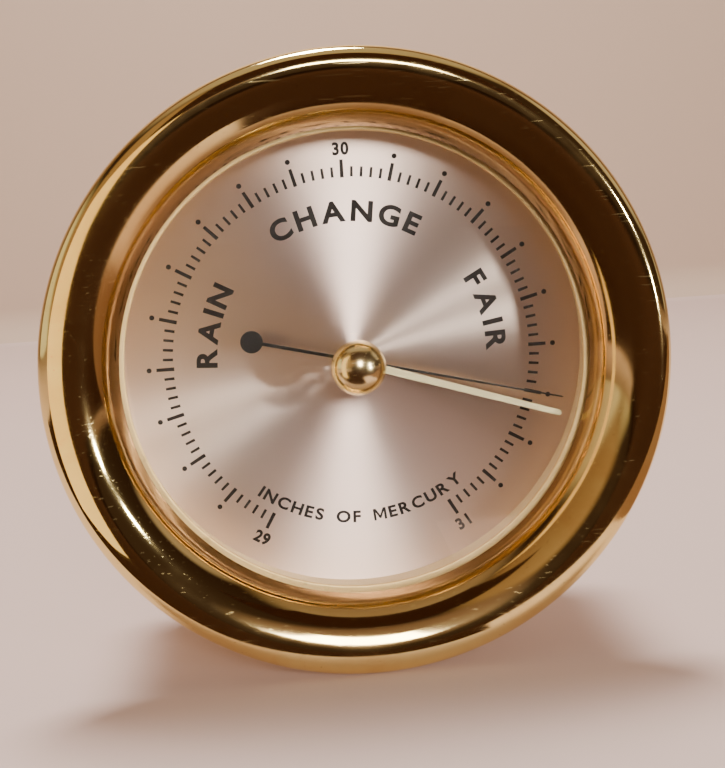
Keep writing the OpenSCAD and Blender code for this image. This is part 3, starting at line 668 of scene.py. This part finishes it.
# Each print piece's lines: text, radii of the letters' feet and heads, azimuth, span in degrees,
# weight that thickens the strokes, and width against the font's
WORDS = {
    "scale_words": [("RAIN", 37.4, 43.2, -73.8, 33.3, 0.034, 1.10),
                    ("CHANGE", 37.4, 43.2, 0.0, 60.4, 0.034, 1.10),
                    ("FAIR", 37.4, 43.2, 74.8, 32.5, 0.034, 1.10)],
    "unit_words": [("INCHES OF MERCURY", 47.4, 44.0, 180.0, 76.0, 0.032, 1.10)],
    "scale_numerals": [("30", 55.5, 59.0, 0.0, 4.5, 0.040, 0.92),
                       ("29", 59.0, 55.5, -150.0, 4.5, 0.040, 0.92),
                       ("31", 59.0, 55.5, 150.0, 4.0, 0.040, 0.92)],
}
for piece_name, lines in WORDS.items():
    print_mesh = bmesh.new()
    for line in lines:
        arc_words(print_mesh, *line)
    add_piece(piece_name, print_mesh, "dial_ink", "case", sharp_deg=30.0)


# Floor, studio cards, lamps and world
def stage_look(name, colour, rough, glow=0.0, gloss=0.5):
    """Plain paper or card with a faint weave and cloud, which glows where glow is given."""
    n = Nodes(name)
    weave = n.noise(900.0, rough=0.6)
    cloud = n.noise(3.0)
    tint = n.mix(n.spread(cloud, 0.3, 0.7, 0.0, 0.3), colour, shade(colour, 0.93))
    mat = n.finish(tint, rough, 0.0, n.bump(weave, 0.00002, 0.25), Specular_IOR_Level=gloss)
    if glow:
        n.bsdf.inputs["Emission Color"].default_value = (*colour, 1.0)
        n.bsdf.inputs["Emission Strength"].default_value = glow
    return mat


# The backdrop, in metres: the floor's front edge, the wall, and the cove between them
FLOOR_Z = -RIM_R / 1000.0
FRONT_Y, BACK_Y = -2.2, 0.74
COVE_R, COVE_STEP_DEG = 0.03, 6
WALL_HEIGHT = 2.4
HALF_WIDTH = 3.0


def add_backdrop():
    """The floor, the wall behind it and the small cove that joins them."""
    path = [(FRONT_Y, 0.0), (BACK_Y - COVE_R, 0.0)]
    for degrees in range(COVE_STEP_DEG, 91, COVE_STEP_DEG):
        a = math.radians(degrees)
        path.append((BACK_Y - COVE_R + COVE_R * math.sin(a), COVE_R * (1.0 - math.cos(a))))
    path.append((BACK_Y, WALL_HEIGHT))
    bm = bmesh.new()
    sides = [[bm.verts.new((x, y, FLOOR_Z + z)) for y, z in path] for x in (-HALF_WIDTH, HALF_WIDTH)]
    for i in range(len(path) - 1):
        face = bm.faces.new((sides[0][i], sides[0][i + 1], sides[1][i + 1], sides[1][i]))
        face.smooth = True
    mesh = bpy.data.meshes.new("backdrop")
    bm.to_mesh(mesh)
    bm.free()
    backdrop = bpy.data.objects.new("backdrop", mesh)
    bpy.context.scene.collection.objects.link(backdrop)
    mesh.materials.append(stage_look("stage_paper", (0.72, 0.56, 0.52), 0.75))
    mesh.materials.append(stage_look("stage_wall", (0.66, 0.51, 0.40), 0.8))
    for face in mesh.polygons:
        face.material_index = 1 if face.center.y > BACK_Y - 0.6 * COVE_R else 0


add_backdrop()


def flag(name, corners, colour, glow=0.0):
    """A studio card that reflections show and the camera doesn't."""
    flag_mesh = bpy.data.meshes.new(name)
    flag_mesh.from_pydata(corners, [], [tuple(range(len(corners)))])
    flag_mesh.materials.append(stage_look(name, colour, 0.8, glow, 0.0))
    obj = bpy.data.objects.new(name, flag_mesh)
    bpy.context.scene.collection.objects.link(obj)
    obj.visible_camera = False
    obj.visible_diffuse = False
    obj.visible_shadow = False


DARK = (0.032, 0.015, 0.010)

# Cards lying just above the floor: name, height over it, colour, corners in x and y
FLOOR_CARDS = [
    ("floor_flag_left", 0.0006, DARK,
     [(-0.37, -0.104), (0.035, -0.104), (0.035, -0.90), (-0.37, -0.90)]),
    ("floor_flag_right", 0.0006, DARK,
     [(0.035, -0.185), (0.90, -0.150), (0.90, -0.90), (0.035, -0.90)]),
    ("floor_flag_far", 0.0006, DARK,
     [(-0.50, -0.90), (0.90, -0.90), (1.60, -2.19), (-1.10, -2.19)]),
    ("floor_flag_side", 0.0009, (0.21, 0.125, 0.085),
     [(0.10, -0.184), (0.12, -0.02), (0.90, 0.12), (0.90, -0.149)]),
]
for name, height, colour, corners in FLOOR_CARDS:
    flag(name, [(x, y, FLOOR_Z + height) for x, y in corners], colour)

# Upright cards that face the object: name, y, colour, glow, corners in x and z
UPRIGHT_CARDS = [
    ("left_card", -0.12, (0.97, 0.79, 0.44), 0.66,
     [(-0.128, -0.068), (-0.063, -0.055), (-0.068, -0.010),
      (-0.068, 0.035), (-0.052, 0.085), (-0.128, 0.085)]),
    ("upper_flag", -0.25, DARK, 0.0,
     [(-0.13, 0.125), (0.15, 0.125), (0.20, 0.42), (-0.18, 0.42)]),
]
for name, y, colour, glow, corners in UPRIGHT_CARDS:
    flag(name, [(x, y, z) for x, z in corners], colour, glow)


def lamp(name, at, aim, width, height, power, colour):
    """A soft area lamp at a point, turned to another."""
    data = bpy.data.lights.new(name, "AREA")
    data.shape = "RECTANGLE"
    data.size = width
    data.size_y = height
    data.energy = power
    data.color = colour
    obj = bpy.data.objects.new(name, data)
    bpy.context.scene.collection.objects.link(obj)
    obj.location = at
    obj.rotation_euler = (Vector(aim) - Vector(at)).to_track_quat("-Z", "Y").to_euler()


def toward(azimuth, tilt, distance=1.0):
    """A point in front of the dial: azimuth clockwise from the top, tilt from the dial's axis."""
    a, t = math.radians(azimuth), math.radians(tilt)
    return Vector((math.sin(a) * math.sin(t), -math.cos(t), math.cos(a) * math.sin(t))) * distance


SIDE_TINT = (1.0, 0.93, 0.84)

# Name, place, what it is turned to, width, height, watts, colour
LAMPS = [
    ("lamp_key", toward(17.6, 18.0, 1.1) + DIAL_CENTRE, DIAL_CENTRE, 0.22, 0.28, 4.6,
     (1.0, 0.90, 0.83)),
    ("lamp_right_high", toward(75.4, 42.0) + DIAL_CENTRE, DIAL_CENTRE, 0.05, 0.07, 1.7, SIDE_TINT),
    ("lamp_right_low", toward(90.5, 42.0) + DIAL_CENTRE, DIAL_CENTRE, 0.05, 0.05, 1.9, SIDE_TINT),
    ("lamp_ceiling", (-0.05, 0.20, 1.15), (0.05, 0.10, 0.0), 0.34, 0.30, 19.0, (1.0, 0.95, 0.90)),
]
for values in LAMPS:
    lamp(*values)

# The studio round the object: soft light and dark walls, by azimuth and tilt as in toward()
STUDIO_BASE = (0.046, 0.025, 0.017)
# Azimuth, tilt, angle it is full to, angle it is gone by, colour
STUDIO = [
    (0.0, 98.0, 30.0, 46.0, (0.52, 0.40, 0.28)),
    (250.0, 96.0, 42.0, 58.0, (0.98, 0.86, 0.60)),
    (307.0, 50.0, 19.0, 31.0, (0.42, 0.26, 0.14)),
    (98.0, 128.0, 30.0, 40.0, (0.62, 0.52, 0.42)),
    (58.0, 92.0, 12.0, 22.0, (0.66, 0.55, 0.43)),
    (6.0, 27.0, 13.0, 22.0, (0.25, 0.15, 0.11)),
    (248.0, 40.0, 10.0, 20.0, (0.66, 0.52, 0.32)),
]


def add_world():
    """The world: the studio's dark base with each soft wall blended over it in turn."""
    world = bpy.data.worlds.new("studio")
    bpy.context.scene.world = world
    world.use_nodes = True
    nodes, links = world.node_tree.nodes, world.node_tree.links
    nodes.clear()
    out = nodes.new("ShaderNodeOutputWorld")
    background = nodes.new("ShaderNodeBackground")
    direction = nodes.new("ShaderNodeTexCoord").outputs["Generated"]
    tone = None
    for azimuth, tilt, full, gone, colour in STUDIO:
        dot = nodes.new("ShaderNodeVectorMath")
        dot.operation = "DOT_PRODUCT"
        links.new(direction, dot.inputs[0])
        dot.inputs[1].default_value = toward(azimuth, tilt)
        share = nodes.new("ShaderNodeMapRange")
        share.interpolation_type = "SMOOTHSTEP"
        share.inputs["From Min"].default_value = math.cos(math.radians(gone))
        share.inputs["From Max"].default_value = math.cos(math.radians(full))
        links.new(dot.outputs["Value"], share.inputs["Value"])
        blend = nodes.new("ShaderNodeMix")
        blend.data_type = "RGBA"
        links.new(share.outputs[0], blend.inputs[0])
        if tone is None:
            blend.inputs[MIX_A].default_value = (*STUDIO_BASE, 1.0)
        else:
            links.new(tone, blend.inputs[MIX_A])
        blend.inputs[MIX_B].default_value = (*colour, 1.0)
        tone = blend.outputs[MIX_OUT]
    links.new(tone, background.inputs["Color"])
    background.inputs["Strength"].default_value = 1.0
    links.new(background.outputs[0], out.inputs[0])


add_world()
